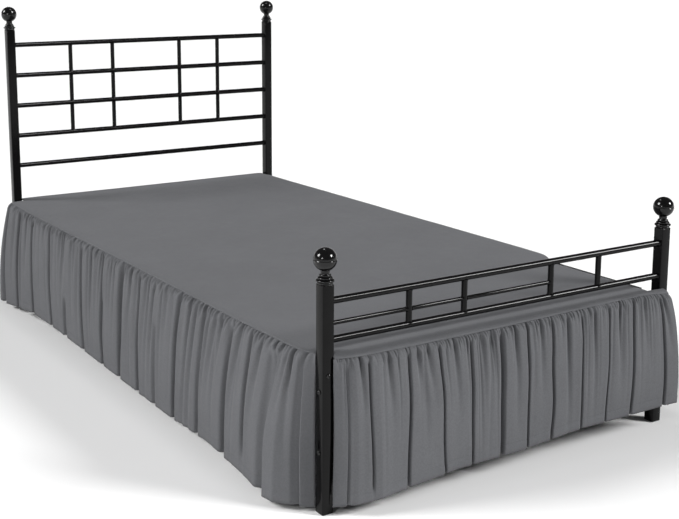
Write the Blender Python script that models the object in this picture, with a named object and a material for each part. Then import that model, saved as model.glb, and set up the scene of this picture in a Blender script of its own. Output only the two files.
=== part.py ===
"""Gathered bed skirt on a plain metal single bed, in metres, +Z up.

The origin is on the floor under the middle of the bed. X runs across the bed and Y along it, with the
headboard at +Y. The skirt is a flat deck panel with three gathered ruffles, split at the foot corners.
"""

import math
from collections import namedtuple

import bmesh
import bpy
import numpy as np
from mathutils import Vector

GAP = 0.0003  # between pieces that touch

# Bed frame
POST_SPAN_X = 1.010  # between post centres, across
POST_SPAN_Y = 1.940  # between post centres, along
POST_WIDTH = 0.028
HEAD_POST_TOP = 0.944
FOOT_POST_TOP = 0.508
RAIL_RADIUS = 0.008
UPRIGHT_RADIUS = 0.007
THIN_RAIL_RADIUS = 0.005
HEAD_RAIL_TOP = 0.8927
HEAD_RAIL_PITCH = 0.1036
HEAD_RAILS = 5
HEAD_UPRIGHTS_X = (-0.290, -0.132, 0.132, 0.290)
HEAD_UPRIGHT_ROWS = 3
FOOT_RAIL_UPPER = 0.4697
FOOT_RAIL_LOWER = 0.3848
FOOT_RAIL_THIN = 0.4205
FOOT_UPRIGHTS_X = (-0.286, -0.131, 0.131, 0.286)
THIN_RAIL_LENGTHS = 3
BAR_SIDES = 12
METAL_SMOOTH_ANGLE = math.radians(35)

# Ball finial, up from the top of its post
BALL_RADIUS = 0.0254
BALL_CENTRE = 0.052
NECK_RADIUS = 0.010
FINIAL_SIDES = 16
BALL_RINGS = 8
BALL_TOP_ANGLE = math.radians(82)  # the ball is closed flat above this angle
Step = namedtuple("Step", "height radius")
FINIAL_STEPS = (
    Step(0.0000, 0.0165),
    Step(0.0040, 0.0165),
    Step(0.0050, 0.0198),
    Step(0.0095, 0.0198),
    Step(0.0110, 0.0160),
    Step(0.0150, 0.0160),
    Step(0.0165, 0.0125),
    Step(0.0200, 0.0125),
    Step(0.0215, NECK_RADIUS),
)

# Deck support
DECK_MIDDLE = 0.357  # height of the deck cloth's middle
CLOTH = 0.002  # thickness of the cloth
DECK_CLEARANCE = 0.0005  # between the deck and what carries it
SIDE_RAIL_IN = 0.453  # inner face of an angle section side rail, from the middle of the bed
SIDE_RAIL_OUT = 0.496
SIDE_RAIL_HEIGHT = 0.040
SIDE_RAIL_WALL = 0.006
SLATS = 10
SLAT_WIDTH = 0.050
SLAT_THICKNESS = 0.014
SLAT_REACH_Y = 0.920  # middle of the end slats, from the middle of the bed

# Bolt heads on the foot posts
BOLT_RADIUS = 0.006
BOLT_HEIGHT = 0.004
BOLT_SIDES = 12
BOLT_FACE_END = 0.311
BOLT_FACE_SIDE = (0.274, 0.139)
BOLT_DOME = (Step(0.0, 1.0), Step(0.5, 1.0), Step(0.85, 0.75), Step(1.0, 0.35))  # in heights and radii

# Skirt
NEAR_SEAM_X = -0.535
FAR_SEAM_X = 0.515
FOOT_SEAM_Y = -1.005
SEAM_GAP = 0.0013
ROLL_WIDTH = 0.045  # strip in which the deck curves down to a seam
ROLL_STEPS = 5
DECK_HEAD_Y = 0.990
DECK_SIDE_HEAD_Y = 0.947
FOOT_TONGUE_X = 0.500  # the deck's foot edge passes in front of the far foot post to here
POST_CLEARANCE = 0.0025
TUCK_START_Y = -0.540  # the deck's far edge turns in from here
TUCK_END_Y = -0.660  # to here, and stays in as far as the foot post
TUCK_X = 0.451
TUCK_SQUEEZE = 0.12  # width that is left of the turned in strip
LEAST_GRID_STEP = 0.003
CLOTH_SMOOTH_ANGLE = math.radians(60)

# One row for each main fold: its place along the edge from the middle of the bed, how deep it goes in at
# the hem, its half width, how far it drifts along by the hem, and how far down the drop it starts.
Fold = namedtuple("Fold", "place depth half_width drift start")
NEAR_FOLDS = (
    Fold(0.912, 0.022, 0.010, 0.000, 0.00),
    Fold(0.822, 0.030, 0.011, -0.018, 0.00),
    Fold(0.700, 0.030, 0.011, -0.036, 0.00),
    Fold(0.545, 0.032, 0.012, -0.048, 0.00),
    Fold(0.408, 0.016, 0.010, -0.030, 0.60),
    Fold(0.278, 0.030, 0.012, -0.048, 0.00),
    Fold(0.118, 0.028, 0.011, -0.028, 0.00),
    Fold(-0.016, 0.030, 0.012, -0.018, 0.00),
    Fold(-0.138, 0.028, 0.012, -0.026, 0.00),
    Fold(-0.250, 0.014, 0.010, -0.020, 0.30),
    Fold(-0.378, 0.034, 0.013, -0.008, 0.00),
    Fold(-0.512, 0.026, 0.011, -0.004, 0.00),
    Fold(-0.648, 0.032, 0.012, -0.006, 0.00),
    Fold(-0.738, 0.026, 0.011, -0.016, 0.00),
    Fold(-0.845, 0.032, 0.014, -0.004, 0.10),
    Fold(-0.931, 0.018, 0.010, 0.000, 0.00),
)
FOOT_FOLDS = (
    Fold(-0.470, 0.012, 0.008, 0.000, 0.00),
    Fold(-0.424, 0.024, 0.010, 0.000, 0.00),
    Fold(-0.320, 0.030, 0.011, -0.014, 0.00),
    Fold(-0.237, 0.026, 0.011, 0.008, 0.00),
    Fold(-0.148, 0.024, 0.010, -0.005, 0.00),
    Fold(-0.058, 0.028, 0.011, -0.011, 0.00),
    Fold(0.020, 0.024, 0.010, -0.010, 0.00),
    Fold(0.096, 0.028, 0.011, -0.009, 0.00),
    Fold(0.193, 0.026, 0.011, -0.011, 0.00),
    Fold(0.283, 0.026, 0.010, -0.020, 0.00),
    Fold(0.364, 0.024, 0.010, -0.016, 0.00),
    Fold(0.455, 0.024, 0.010, -0.006, 0.00),
)

FAR_DRIFT = 0.5  # drift of the far side's folds, as a share of the near side's
FAR_FOLDS = tuple(fold._replace(drift=fold.drift * FAR_DRIFT) for fold in NEAR_FOLDS[1:-1])

# One row for each place along an edge: the seam's height, how far the hem swings out past the seam, the
# hem's height, and how far the seam runs in from its straight line.
Hang = namedtuple("Hang", "place seam_z swing hem_z inset")
NEAR_HANGS = (
    Hang(-0.9535, 0.353, 0.006, 0.008, 0.019),
    Hang(-0.925, 0.354, 0.030, 0.014, 0.004),
    Hang(-0.890, 0.354, 0.056, 0.014, 0.000),
    Hang(-0.850, 0.353, 0.062, 0.016, 0.000),
    Hang(-0.740, 0.351, 0.050, 0.024, 0.000),
    Hang(-0.560, 0.350, 0.042, 0.034, 0.000),
    Hang(-0.350, 0.351, 0.040, 0.026, 0.000),
    Hang(0.100, 0.351, 0.032, 0.028, 0.000),
    Hang(0.500, 0.349, 0.030, 0.036, 0.000),
    Hang(0.700, 0.349, 0.030, 0.035, 0.000),
    Hang(0.830, 0.350, 0.036, 0.022, 0.000),
    Hang(0.945, 0.353, 0.046, 0.012, 0.000),
)
FAR_HANGS = (
    Hang(-0.940, 0.322, 0.060, 0.022, 0.000),
    Hang(-0.850, 0.322, 0.086, 0.018, 0.000),
    Hang(TUCK_END_Y, 0.322, 0.062, 0.024, 0.000),
    Hang(TUCK_START_Y, 0.342, 0.058, 0.028, 0.000),
    Hang(-0.350, 0.342, 0.055, 0.026, 0.000),
    Hang(0.100, 0.342, 0.050, 0.028, 0.000),
    Hang(0.500, 0.342, 0.048, 0.032, 0.000),
    Hang(0.750, 0.342, 0.048, 0.028, 0.000),
    Hang(0.940, 0.342, 0.060, 0.016, 0.000),
)
FOOT_HANGS = (
    Hang(-0.4885, 0.347, 0.006, 0.018, 0.020),
    Hang(-0.455, 0.348, 0.024, 0.028, 0.003),
    Hang(-0.400, 0.348, 0.034, 0.034, 0.000),
    Hang(-0.200, 0.347, 0.030, 0.051, 0.000),
    Hang(0.000, 0.348, 0.032, 0.054, 0.000),
    Hang(0.200, 0.352, 0.028, 0.065, 0.000),
    Hang(0.400, 0.354, 0.030, 0.066, 0.000),
    Hang(0.455, 0.351, 0.031, 0.063, 0.000),
    Hang(0.500, 0.344, 0.030, 0.058, 0.000),
)

# A ruffle: its edge's outward direction, its seam, where it starts and ends along the edge, how far its two
# ends flare along the edge at the hem, its folds and its hang.
Ruffle = namedtuple("Ruffle", "name outward seam first last first_flare last_flare folds hangs")
RUFFLES = (
    Ruffle("ruffle_near", (-1, 0), NEAR_SEAM_X, -0.9535, 0.945, 0.000, 0.020, NEAR_FOLDS, NEAR_HANGS),
    Ruffle("ruffle_far", (1, 0), FAR_SEAM_X, -0.940, 0.940, 0.020, 0.095, FAR_FOLDS, FAR_HANGS),
    Ruffle("ruffle_foot", (0, -1), FOOT_SEAM_Y, -0.4885, 0.500, 0.000, 0.022, FOOT_FOLDS, FOOT_HANGS),
)
FLARE_WIDTH = 0.120  # stretch of an end over which it flares
DROP_ROWS = (0.0, 0.06, 0.20, 0.42, 0.70, 1.0)
FOLD_COLUMNS = (-2.0, -0.95, -0.4, 0.4, 0.95, 2.0)  # in half widths
SWING_POWER = 1.8
FLARE_POWER = 4.0
FOLD_OPENING = 0.16  # share of the drop over which a fold opens below its start
SEAM_PUCKER = 0.04  # share of a fold's depth that is already there at the seam
DEPTH_AT_SEAM = 0.55  # a fold's full depth is this share of its table depth at the seam, growing to the hem

FABRIC_GREY = (0.165, 0.168, 0.180, 1.0)
METAL_BLACK = (0.012, 0.012, 0.013, 1.0)


def principled(name, colour, roughness, metallic):
    """A material with one Principled shader."""
    material = bpy.data.materials.new(name)
    material.use_nodes = True
    shader = material.node_tree.nodes["Principled BSDF"]
    shader.inputs["Base Color"].default_value = colour
    shader.inputs["Roughness"].default_value = roughness
    shader.inputs["Metallic"].default_value = metallic
    return material


def add_object(name, mesh, material, parent, smooth_angle=None):
    """Links a mesh to the scene under the parent, with its material."""
    if smooth_angle is not None:
        mesh.shade_smooth()
        mesh.set_sharp_from_angle(angle=smooth_angle)
    mesh.materials.append(material)
    obj = bpy.data.objects.new(name, mesh)
    obj.parent = parent
    bpy.context.scene.collection.objects.link(obj)
    return obj


def mesh_from(name, vertices, faces):
    """A mesh whose faces all point out."""
    mesh = bpy.data.meshes.new(name)
    bm = bmesh.new()
    made = [bm.verts.new(v) for v in vertices]
    for face in faces:
        bm.faces.new([made[i] for i in face])
    bmesh.ops.recalc_face_normals(bm, faces=bm.faces)
    bm.to_mesh(mesh)
    bm.free()
    return mesh


def box(name, low, high, material, parent):
    """A rectangular bar between two corners."""
    mesh = bpy.data.meshes.new(name)
    bm = bmesh.new()
    bmesh.ops.create_cube(bm, size=1.0)
    size = [b - a for a, b in zip(low, high)]
    bmesh.ops.scale(bm, vec=size, verts=bm.verts)
    bm.to_mesh(mesh)
    bm.free()
    obj = add_object(name, mesh, material, parent)
    obj.location = [(a + b) / 2 for a, b in zip(low, high)]
    return obj


def lathe(name, steps, sides, material, parent):
    """A turned piece: one ring of points for each step, closed flat at the bottom and the top."""
    vertices = []
    for step in steps:
        for k in range(sides):
            angle = 2 * math.pi * k / sides
            vertices.append((step.radius * math.cos(angle), step.radius * math.sin(angle), step.height))
    faces = [tuple(range(sides)), tuple(range(len(vertices) - sides, len(vertices)))]
    for ring in range(len(steps) - 1):
        for k in range(sides):
            here, beside = ring * sides + k, ring * sides + (k + 1) % sides
            faces.append((here, beside, beside + sides, here + sides))
    return add_object(name, mesh_from(name, vertices, faces), material, parent, METAL_SMOOTH_ANGLE)


def saddled_bar(name, start, end, radius, start_round, end_round, material, parent):
    """A round bar along X or Z whose ends fit against a flat face, or over a round bar of the given radius.

    start and end are the face, or the middle of the round bar, that each end meets.
    """
    start, end = Vector(start), Vector(end)
    along = (end - start).normalized()
    across = Vector((0.0, 1.0, 0.0))
    third = along.cross(across)

    def end_ring(point, direction, round_radius):
        hollow = round_radius + GAP
        ring = []
        for k in range(BAR_SIDES):
            angle = 2 * math.pi * k / BAR_SIDES
            side = radius * math.cos(angle)
            inset = math.sqrt(hollow**2 - side**2) if round_radius else GAP
            ring.append(point + direction * inset + across * side + third * radius * math.sin(angle))
        return ring

    vertices = end_ring(start, along, start_round) + end_ring(end, -along, end_round)
    faces = []
    for k in range(BAR_SIDES):
        beside = (k + 1) % BAR_SIDES
        faces.append((k, beside, beside + BAR_SIDES, k + BAR_SIDES))
    for k in range(BAR_SIDES // 2):
        # a strip across the end, along the round bar that it fits over
        strip = dict.fromkeys((k, k + 1, BAR_SIDES - k - 1, (BAR_SIDES - k) % BAR_SIDES))
        faces.append(tuple(strip))
        faces.append(tuple(i + BAR_SIDES for i in strip))
    return add_object(name, mesh_from(name, vertices, faces), material, parent, METAL_SMOOTH_ANGLE)


def post_centres():
    """The name, place and height of each post."""
    x, y = POST_SPAN_X / 2, POST_SPAN_Y / 2
    yield "foot_near", -x, -y, FOOT_POST_TOP
    yield "foot_far", x, -y, FOOT_POST_TOP
    yield "head_near", -x, y, HEAD_POST_TOP
    yield "head_far", x, y, HEAD_POST_TOP


def finial_profile():
    """The turned steps of a finial: collar, flange, beads and neck, then the ball."""
    steps = list(FINIAL_STEPS)
    low = -math.acos(NECK_RADIUS / BALL_RADIUS)
    high = BALL_TOP_ANGLE
    for k in range(BALL_RINGS + 1):
        angle = low + (high - low) * k / BALL_RINGS
        height = BALL_CENTRE + BALL_RADIUS * math.sin(angle)
        steps.append(Step(height, BALL_RADIUS * math.cos(angle)))
    return steps


def make_posts(material, parent):
    """Square posts, each with its ball finial."""
    half = POST_WIDTH / 2
    for where, x, y, top in post_centres():
        low = (x - half, y - half, 0.0)
        high = (x + half, y + half, top)
        box(f"post_{where}", low, high, material, parent)
        finial = lathe(f"finial_{where}", finial_profile(), FINIAL_SIDES, material, parent)
        finial.location = (x, y, top + GAP)


def make_headboard(material, parent):
    """Round rails between the head posts, with uprights in three lengths down to the fourth rail."""
    y = POST_SPAN_Y / 2
    face = (POST_SPAN_X - POST_WIDTH) / 2
    heights = [HEAD_RAIL_TOP - HEAD_RAIL_PITCH * k for k in range(HEAD_RAILS)]
    for k, z in enumerate(heights):
        name = f"head_rail_{k + 1}"
        saddled_bar(name, (-face, y, z), (face, y, z), RAIL_RADIUS, 0, 0, material, parent)
    for column, x in enumerate(HEAD_UPRIGHTS_X):
        for k in range(HEAD_UPRIGHT_ROWS):
            name = f"head_upright_{column + 1}_{k + 1}"
            top, bottom = (x, y, heights[k]), (x, y, heights[k + 1])
            saddled_bar(name, bottom, top, UPRIGHT_RADIUS, RAIL_RADIUS, RAIL_RADIUS, material, parent)


def make_footboard(material, parent):
    """Upper and lower rail with four uprights, and a thin rail from the near post to the third upright."""
    y = -POST_SPAN_Y / 2
    face = (POST_SPAN_X - POST_WIDTH) / 2
    for name, z in (("foot_rail_upper", FOOT_RAIL_UPPER), ("foot_rail_lower", FOOT_RAIL_LOWER)):
        saddled_bar(name, (-face, y, z), (face, y, z), RAIL_RADIUS, 0, 0, material, parent)
    for column, x in enumerate(FOOT_UPRIGHTS_X):
        low, high = (x, y, FOOT_RAIL_LOWER), (x, y, FOOT_RAIL_UPPER)
        name = f"foot_upright_{column + 1}"
        saddled_bar(name, low, high, UPRIGHT_RADIUS, RAIL_RADIUS, RAIL_RADIUS, material, parent)
    stops = (-face,) + FOOT_UPRIGHTS_X[:THIN_RAIL_LENGTHS]
    for k in range(THIN_RAIL_LENGTHS):
        start, end = (stops[k], y, FOOT_RAIL_THIN), (stops[k + 1], y, FOOT_RAIL_THIN)
        first_round = UPRIGHT_RADIUS if k else 0
        name = f"foot_thin_rail_{k + 1}"
        saddled_bar(name, start, end, THIN_RAIL_RADIUS, first_round, UPRIGHT_RADIUS, material, parent)


def angle_rail(name, side, end, top, material, parent):
    """A side rail of angle section: an upright wall, and a foot turned out to the posts."""
    inner, outer = side * SIDE_RAIL_IN, side * SIDE_RAIL_OUT
    wall = inner + side * SIDE_RAIL_WALL
    bottom = top - SIDE_RAIL_HEIGHT
    foot = bottom + SIDE_RAIL_WALL
    section = ((inner, bottom), (outer, bottom), (outer, foot), (wall, foot), (wall, top), (inner, top))
    count = len(section)
    vertices = [(x, y, z) for y in (-end, end) for x, z in section]
    faces = [tuple(range(count)), tuple(range(count, 2 * count))]
    for k in range(count):
        beside = (k + 1) % count
        faces.append((k, beside, beside + count, k + count))
    add_object(name, mesh_from(name, vertices, faces), material, parent)


def make_deck_support(material, parent):
    """Two side rails between the posts, and slats between the side rails."""
    end = (POST_SPAN_Y - POST_WIDTH) / 2 - GAP
    top = DECK_MIDDLE - CLOTH / 2 - DECK_CLEARANCE
    for where, side in (("near", -1), ("far", 1)):
        angle_rail(f"side_rail_{where}", side, end, top, material, parent)
    reach = SIDE_RAIL_IN - GAP
    for k in range(SLATS):
        y = -SLAT_REACH_Y + 2 * SLAT_REACH_Y * k / (SLATS - 1)
        low = (-reach, y - SLAT_WIDTH / 2, top - SLAT_THICKNESS)
        high = (reach, y + SLAT_WIDTH / 2, top)
        box(f"slat_{k + 1:02d}", low, high, material, parent)


def make_bolts(material, parent):
    """Low domed bolt heads on the end and outer faces of the two foot posts."""
    dome = [Step(step.height * BOLT_HEIGHT, step.radius * BOLT_RADIUS) for step in BOLT_DOME]
    y = -POST_SPAN_Y / 2
    out = POST_WIDTH / 2 + GAP
    for where, side in (("near", -1), ("far", 1)):
        x = side * POST_SPAN_X / 2
        bolt = lathe(f"bolt_end_{where}", dome, BOLT_SIDES, material, parent)
        bolt.location = (x, y - out, BOLT_FACE_END)
        bolt.rotation_euler = (math.radians(90), 0.0, 0.0)
        for k, z in enumerate(BOLT_FACE_SIDE):
            bolt = lathe(f"bolt_side_{where}_{k + 1}", dome, BOLT_SIDES, material, parent)
            bolt.location = (x + side * out, y, z)
            bolt.rotation_euler = (0.0, side * math.radians(90), 0.0)


def roll_insets():
    """Distances in from a seam, as even steps round a quarter ellipse."""
    angles = [math.pi / 2 * k / ROLL_STEPS for k in range(ROLL_STEPS + 1)]
    return [ROLL_WIDTH * (1 - math.cos(angle)) for angle in angles]


def roll_drop(inset, hangs, place):
    """How far the deck has curved down at a distance in from a seam."""
    share = min(max(inset / ROLL_WIDTH, 0.0), 1.0)
    return (DECK_MIDDLE - hang_value(hangs, place, "seam_z")) * (1 - math.sqrt(1 - (1 - share) ** 2))


def hang_value(hangs, place, column):
    """One column of a table of hangs, read at a place between its rows."""
    return np.interp(place, [hang.place for hang in hangs], [getattr(hang, column) for hang in hangs])


def clear_places(places, fixed):
    """The places that keep a least distance from the fixed ones, and the fixed ones, in order."""
    kept = [place for place in places if min(abs(place - f) for f in fixed) > LEAST_GRID_STEP]
    return sorted(kept + list(fixed))


def deck_places():
    """The grid's places across and along the deck, with lines at every notch edge."""
    slot_in = (POST_SPAN_X - POST_WIDTH) / 2 - POST_CLEARANCE
    foot_in = -(POST_SPAN_Y - POST_WIDTH) / 2 + POST_CLEARANCE
    foot_out = -(POST_SPAN_Y + POST_WIDTH) / 2 - POST_CLEARANCE
    near = clear_places([NEAR_SEAM_X + d for d in roll_insets()], (-slot_in,))
    far = clear_places([FAR_SEAM_X - d for d in roll_insets()], (slot_in, FOOT_TONGUE_X, TUCK_X))
    foot = clear_places([FOOT_SEAM_Y + d for d in roll_insets()], (foot_out, foot_in))
    head = [DECK_SIDE_HEAD_Y, DECK_HEAD_Y]
    across = clear_places([hang.place for hang in FOOT_HANGS[1:]], near + far)
    side_places = sorted({hang.place for hang in NEAR_HANGS + FAR_HANGS})
    along = clear_places([y for y in side_places if foot_in < y], foot + head)
    return across, along, (slot_in, foot_in, foot_out)


def in_deck(x, y, edges):
    """Whether the deck panel covers this place, outside the posts' notches and the turned in far edge."""
    slot_in, foot_in, foot_out = edges
    if y > DECK_SIDE_HEAD_Y and abs(x) > slot_in:
        return False
    if y < foot_in and x < -slot_in:
        return False
    if y < foot_out and x > FOOT_TONGUE_X:
        return False
    return not (x > TUCK_X and foot_out < y < TUCK_END_Y)


def roll_share(inset):
    """1 on a seam, 0 where the deck is flat, and even between."""
    return min(max(1 - inset / ROLL_WIDTH, 0.0), 1.0)


def deck_point(x, y):
    """A point of the deck: flat in the middle, curving down to its three seams."""
    near_drop = roll_drop(x - NEAR_SEAM_X, NEAR_HANGS, y)
    foot_drop = roll_drop(y - FOOT_SEAM_Y, FOOT_HANGS, x)
    far_drop = roll_drop(FAR_SEAM_X - x, FAR_HANGS, y) if y > TUCK_END_Y else 0.0
    z = DECK_MIDDLE - max(near_drop, foot_drop, far_drop)
    near_inset = roll_share(x - NEAR_SEAM_X) * hang_value(NEAR_HANGS, y, "inset")
    foot_inset = roll_share(y - FOOT_SEAM_Y) * hang_value(FOOT_HANGS, x, "inset")
    if y == TUCK_END_Y and x > TUCK_X:
        x = TUCK_X + (x - TUCK_X) * TUCK_SQUEEZE
    return (x + near_inset, y + foot_inset, z)


def make_deck(material, parent):
    """The flat platform cloth, curving down at its two long edges and its foot edge."""
    across, along, edges = deck_places()
    index, vertices, faces = {}, [], []

    def corner(i, j):
        if (i, j) not in index:
            index[i, j] = len(vertices)
            vertices.append(deck_point(across[i], along[j]))
        return index[i, j]

    for i in range(len(across) - 1):
        for j in range(len(along) - 1):
            middle = (across[i] + across[i + 1]) / 2, (along[j] + along[j + 1]) / 2
            if in_deck(*middle, edges):
                faces.append((corner(i, j), corner(i + 1, j), corner(i + 1, j + 1), corner(i, j + 1)))
    return sheet_object("deck_panel", vertices, faces, material, parent)


def sheet_object(name, vertices, faces, material, parent):
    """A cloth of even thickness about the given surface."""
    obj = add_object(name, mesh_from(name, vertices, faces), material, parent, CLOTH_SMOOTH_ANGLE)
    solid = obj.modifiers.new("thickness", "SOLIDIFY")
    solid.thickness = CLOTH
    solid.offset = 0.0
    return obj


def smooth_step(share):
    """0 below 0, 1 above 1, and a smooth rise between."""
    share = min(max(share, 0.0), 1.0)
    return share * share * (3 - 2 * share)


def ruffle_columns(ruffle):
    """Places along the seam with a drift each: six to a fold, one between folds, and the two ends."""
    columns = [(ruffle.first, 0.0), (ruffle.last, 0.0)]
    folds = sorted(ruffle.folds, key=lambda fold: fold.place)
    for fold in folds:
        columns += [(fold.place + fold.half_width * k, fold.drift) for k in FOLD_COLUMNS]
    for fold, following in zip(folds, folds[1:]):
        place = (fold.place + following.place) / 2
        columns.append((place, (fold.drift + following.drift) / 2))
    return sorted(column for column in columns if ruffle.first <= column[0] <= ruffle.last)


def fold_depth(ruffle, place, share):
    """How far the folds draw the cloth in at a place along the seam and a share of the drop."""
    depth = 0.0
    for fold in ruffle.folds:
        opened = SEAM_PUCKER + (1 - SEAM_PUCKER) * smooth_step((share - fold.start) / FOLD_OPENING)
        opened *= 1.0 if share >= fold.start else 0.0
        distance = (place - fold.place) / fold.half_width
        grown = DEPTH_AT_SEAM + (1 - DEPTH_AT_SEAM) * share
        depth += fold.depth * opened * grown * math.exp(-distance * distance)
    return depth


def end_flare(ruffle, place, share):
    """How far the two free ends swing along the edge, away from the middle."""
    swing = 1 - (1 - share) ** FLARE_POWER
    first = smooth_step(1 - (place - ruffle.first) / FLARE_WIDTH)
    last = smooth_step(1 - (ruffle.last - place) / FLARE_WIDTH)
    return swing * (last * ruffle.last_flare - first * ruffle.first_flare)


def ruffle_point(ruffle, place, drift, share):
    """A point of the ruffle, from its place along the seam and its share of the drop."""
    swing = hang_value(ruffle.hangs, place, "swing")
    hem_z = hang_value(ruffle.hangs, place, "hem_z")
    inset = hang_value(ruffle.hangs, place, "inset")
    out = swing * (1 - (1 - share) ** SWING_POWER) - inset - fold_depth(ruffle, place, share)
    along = place + drift * share + end_flare(ruffle, place, share)
    top = hang_value(ruffle.hangs, place, "seam_z") - SEAM_GAP
    z = top + (hem_z - top) * share
    if ruffle.outward[0]:
        return (ruffle.seam + ruffle.outward[0] * out, along, z)
    return (along, ruffle.seam + ruffle.outward[1] * out, z)


def make_ruffle(ruffle, material, parent):
    """A gathered drop: a grid of columns along the seam and rows down to the hem."""
    columns = ruffle_columns(ruffle)
    rows = len(DROP_ROWS)
    vertices = [ruffle_point(ruffle, place, drift, share) for place, drift in columns for share in DROP_ROWS]
    faces = []
    for i in range(len(columns) - 1):
        for j in range(rows - 1):
            here = i * rows + j
            faces.append((here, here + rows, here + rows + 1, here + 1))
    return sheet_object(ruffle.name, vertices, faces, material, parent)


def main():
    for obj in list(bpy.data.objects):
        bpy.data.objects.remove(obj, do_unlink=True)
    bed = bpy.data.objects.new("bed", None)
    bpy.context.scene.collection.objects.link(bed)
    fabric = principled("skirt_fabric", FABRIC_GREY, 0.85, 0.0)
    metal = principled("black_metal", METAL_BLACK, 0.25, 0.0)
    make_posts(metal, bed)
    make_headboard(metal, bed)
    make_footboard(metal, bed)
    make_deck_support(metal, bed)
    make_bolts(metal, bed)
    make_deck(fabric, bed)
    for ruffle in RUFFLES:
        make_ruffle(ruffle, fabric, bed)


main()
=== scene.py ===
"""Looks of a gathered bed skirt on its metal bed: the cloth's folds and seams, finer metal and finishes.

Metres, +Z up. X runs across the bed and Y along it, with the headboard at +Y and the floor at Z 0.
"""

import math
from collections import namedtuple

import bmesh
import bpy
import numpy as np
from mathutils import Matrix, Vector


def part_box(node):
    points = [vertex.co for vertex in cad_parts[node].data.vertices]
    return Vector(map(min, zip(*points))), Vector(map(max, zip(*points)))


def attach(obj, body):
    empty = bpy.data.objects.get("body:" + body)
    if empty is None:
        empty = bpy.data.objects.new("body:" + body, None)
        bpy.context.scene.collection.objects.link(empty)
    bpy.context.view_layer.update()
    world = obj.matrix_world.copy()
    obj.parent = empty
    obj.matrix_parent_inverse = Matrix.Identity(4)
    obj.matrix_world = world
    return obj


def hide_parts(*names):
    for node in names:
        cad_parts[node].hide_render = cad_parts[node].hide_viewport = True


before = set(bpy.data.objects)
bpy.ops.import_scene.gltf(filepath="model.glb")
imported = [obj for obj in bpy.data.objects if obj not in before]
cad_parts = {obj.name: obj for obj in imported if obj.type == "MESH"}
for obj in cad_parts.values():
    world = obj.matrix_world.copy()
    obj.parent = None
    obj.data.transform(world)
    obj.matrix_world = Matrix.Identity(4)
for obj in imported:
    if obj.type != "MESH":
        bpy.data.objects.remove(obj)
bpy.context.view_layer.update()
BODY = "root"

# Camera, as measured from the photograph
CAMERA_PLACE = (-1.8257, -2.9688, 1.1631)
CAMERA_YAW = 0.538628  # from +Y towards +X
CAMERA_PITCH = -0.180174
CAMERA_ROLL = -0.004666
FRAME_WIDTH = 679.0
FRAME_HEIGHT = 519.0
FOCAL_LENGTH = 1191.74  # in pixels of that frame
AXIS_PIXEL_X = 272.354  # where the camera's axis meets the frame
AXIS_PIXEL_Y = 180.0
SENSOR_WIDTH = 36.0

# Skirt, within a few millimetres of the CAD
DECK_MIDDLE = 0.357
NEAR_SEAM_X = -0.535
FAR_SEAM_X = 0.515
FOOT_SEAM_Y = -1.005
ROLL_WIDTH = 0.045
DECK_HEAD_Y = 0.990
DECK_SIDE_HEAD_Y = 0.947
FOOT_TONGUE_NEAR_X = -0.4955
FOOT_TONGUE_FAR_X = 0.500
POST_CLEARANCE = 0.0025
TUCK_START_Y = -0.540
TUCK_END_Y = -0.660
TUCK_X = 0.444
TUCK_SQUEEZE = 0.12

# Cloth
CLOTH_THICKNESS = 0.0012
HEM_WIDTH = 0.025

# One row for each main fold: its place along the edge, how deep it goes in at the hem, its half width, how
# far it drifts along by the hem, and the shares of the drop where it starts and ends.
Fold = namedtuple("Fold", "place depth half_width drift start end")
NEAR_FOLDS = (
    Fold(0.924, 0.022, 0.0072, -0.036, 0.00, 1.5),
    Fold(0.822, 0.030, 0.0096, -0.018, 0.00, 1.5),
    Fold(0.700, 0.030, 0.0096, -0.036, 0.00, 1.5),
    Fold(0.545, 0.032, 0.0096, -0.048, 0.00, 1.5),
    Fold(0.408, 0.016, 0.0128, -0.030, 0.60, 1.5),
    Fold(0.278, 0.030, 0.0096, -0.048, 0.00, 1.5),
    Fold(0.118, 0.028, 0.0096, -0.028, 0.00, 1.5),
    Fold(-0.016, 0.030, 0.0104, -0.018, 0.00, 1.5),
    Fold(-0.138, 0.028, 0.0096, -0.026, 0.00, 1.5),
    Fold(-0.250, 0.012, 0.0112, -0.020, 0.30, 1.5),
    Fold(-0.378, 0.034, 0.0104, -0.008, 0.00, 1.5),
    Fold(-0.512, 0.016, 0.0096, -0.004, 0.00, 1.5),
    Fold(-0.648, 0.032, 0.0112, -0.006, 0.00, 1.5),
    Fold(-0.738, 0.026, 0.0080, -0.016, 0.00, 0.95),
    Fold(-0.845, 0.020, 0.0176, -0.004, 0.04, 1.5),
    Fold(-0.931, 0.012, 0.0054, -0.002, 0.00, 1.5),
)
FOOT_FOLDS = (
    Fold(-0.470, 0.007, 0.0036, -0.002, 0.00, 1.3),
    Fold(-0.424, 0.016, 0.0036, 0.000, 0.00, 1.0),
    Fold(-0.320, 0.026, 0.0038, -0.014, 0.00, 1.5),
    Fold(-0.237, 0.026, 0.0036, 0.008, 0.00, 1.5),
    Fold(-0.148, 0.024, 0.0040, -0.005, 0.00, 1.5),
    Fold(-0.058, 0.026, 0.0062, -0.011, 0.00, 1.5),
    Fold(0.020, 0.022, 0.0038, -0.010, 0.00, 1.5),
    Fold(0.096, 0.024, 0.0048, -0.009, 0.00, 1.5),
    Fold(0.193, 0.026, 0.0040, -0.011, 0.00, 1.5),
    Fold(0.283, 0.026, 0.0034, -0.020, 0.00, 1.5),
    Fold(0.364, 0.024, 0.0044, -0.016, 0.00, 1.5),
    Fold(0.455, 0.024, 0.0040, -0.006, 0.00, 1.5),
)
FAR_DRIFT = 0.5
FAR_FOLDS = tuple(fold._replace(drift=fold.drift * FAR_DRIFT) for fold in NEAR_FOLDS[1:-1])

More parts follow.
